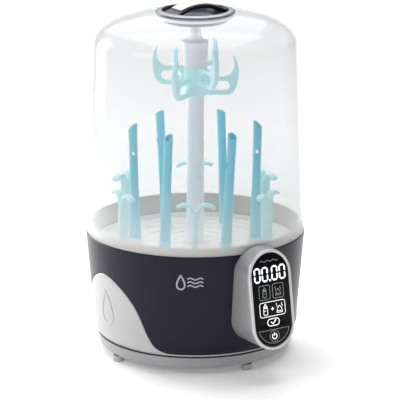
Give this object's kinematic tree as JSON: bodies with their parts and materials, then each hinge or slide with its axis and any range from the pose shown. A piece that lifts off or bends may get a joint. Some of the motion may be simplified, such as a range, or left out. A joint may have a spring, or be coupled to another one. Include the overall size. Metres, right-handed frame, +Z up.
{
  "type": "bottle sterilizer",
  "caption": "Round electric steam sterilizer and dryer for baby bottles: clear lift-off dome, lift-out rack of hollow rods, heated base with a control panel.",
  "frame": {"origin": "body axis, on the plane that the four feet stand on", "axes": "+Z up; the control panel faces -Y; +X is to the right of someone facing the panel"},
  "size_m": [0.256, 0.2933, 0.412],
  "materials": {
    "dark_shell": "satin-gloss navy moulding",
    "cream_plastic": "cream moulding",
    "white_plastic": "satin white moulding",
    "screw_steel": "zinc plated",
    "plate_steel": "brushed stainless steel",
    "seal_rubber": "silicone",
    "black_plastic": "black moulding",
    "ceramic": "pale sleeve",
    "grey_plastic": "light grey moulding",
    "motor_metal": "steel can",
    "board": "circuit board",
    "filter_foam": "open-cell foam",
    "silver_plastic": "silver-grey pearl paint",
    "bezel_plastic": "light silver pearl paint",
    "black_gloss": "gloss black window",
    "clear_dome": "clear, faintly milky plastic",
    "column_plastic": "translucent grey-white",
    "clear_cap": "translucent cap",
    "mint_plastic": "pale mint plastic",
    "blue_plastic": "sky blue plastic"
  },
  "bodies": {
    "base": {"base_shell": "dark_shell", "collar_basin": "cream_plastic", "lower_casing": "white_plastic", "base_pan": "white_plastic", "foot_1": "white_plastic", "foot_2": "white_plastic", "foot_3": "white_plastic", "foot_4": "white_plastic", "base_screws": "screw_steel", "board_screws": "screw_steel", "heating_plate": "plate_steel", "heater_element": "plate_steel", "plate_retainer": "plate_steel", "plate_seal": "seal_rubber", "thermostat": "black_plastic", "fan_housing": "black_plastic", "mains_inlet": "black_plastic", "led_display": "black_plastic", "thermal_fuse": "ceramic", "air_duct": "grey_plastic", "fan_motor": "motor_metal", "power_board": "board", "control_board": "board", "pod_housing": "silver_plastic", "pod_bezel": "bezel_plastic", "display_window": "black_gloss"},
    "rack": {"drain_tray": "white_plastic", "column": "column_plastic", "column_cap": "clear_cap", "upper_hooks": "mint_plastic", "lower_hooks": "mint_plastic", "bottle_rod_1": "blue_plastic", "bottle_rod_2": "blue_plastic", "bottle_rod_3": "blue_plastic", "bottle_rod_4": "blue_plastic", "bottle_rod_5": "blue_plastic", "bottle_rod_6": "blue_plastic", "teat_post_1": "mint_plastic", "teat_post_2": "mint_plastic", "teat_post_3": "mint_plastic", "teat_post_4": "mint_plastic", "teat_post_5": "mint_plastic", "teat_post_6": "mint_plastic"},
    "lid": {"dome": "clear_dome", "handle_cup": "dark_shell", "handle_arch": "dark_shell", "handle_ring": "silver_plastic", "handle_grip": "cream_plastic", "lock_ring": "white_plastic"},
    "ok_key": {"ok_button": "black_gloss"},
    "power_key": {"power_button": "black_gloss"},
    "fan": {"fan_impeller": "black_plastic"},
    "filter_hatch": {"filter_cover": "dark_shell", "air_filter": "filter_foam"}
  },
  "joints": [
    {"name": "rack_lift", "type": "slide", "parent": "base", "child": "rack", "axis": [0, 0, 1], "range_m": [0, 0.08]},
    {"name": "lid_lift", "type": "slide", "parent": "rack", "child": "lid", "axis": [0, 0, 1], "range_m": [0, 0.26]},
    {"name": "fan_spin", "type": "hinge", "parent": "base", "child": "fan", "pos_m": [0, 0, 0.038], "axis": [0, 0, 1], "continuous": true},
    {"name": "ok_press", "type": "slide", "parent": "base", "child": "ok_key", "axis": [0, 0.9889, -0.1487], "range_m": [0, 0.0007], "stiffness_N_per_m": 1000, "springref_m": -0.0003},
    {"name": "power_press", "type": "slide", "parent": "base", "child": "power_key", "axis": [0, 0.9889, -0.1487], "range_m": [0, 0.0007], "stiffness_N_per_m": 1000, "springref_m": -0.0003},
    {"name": "filter_pull", "type": "slide", "parent": "base", "child": "filter_hatch", "axis": [0, 1, 0], "range_m": [0, 0.03]}
  ]
}
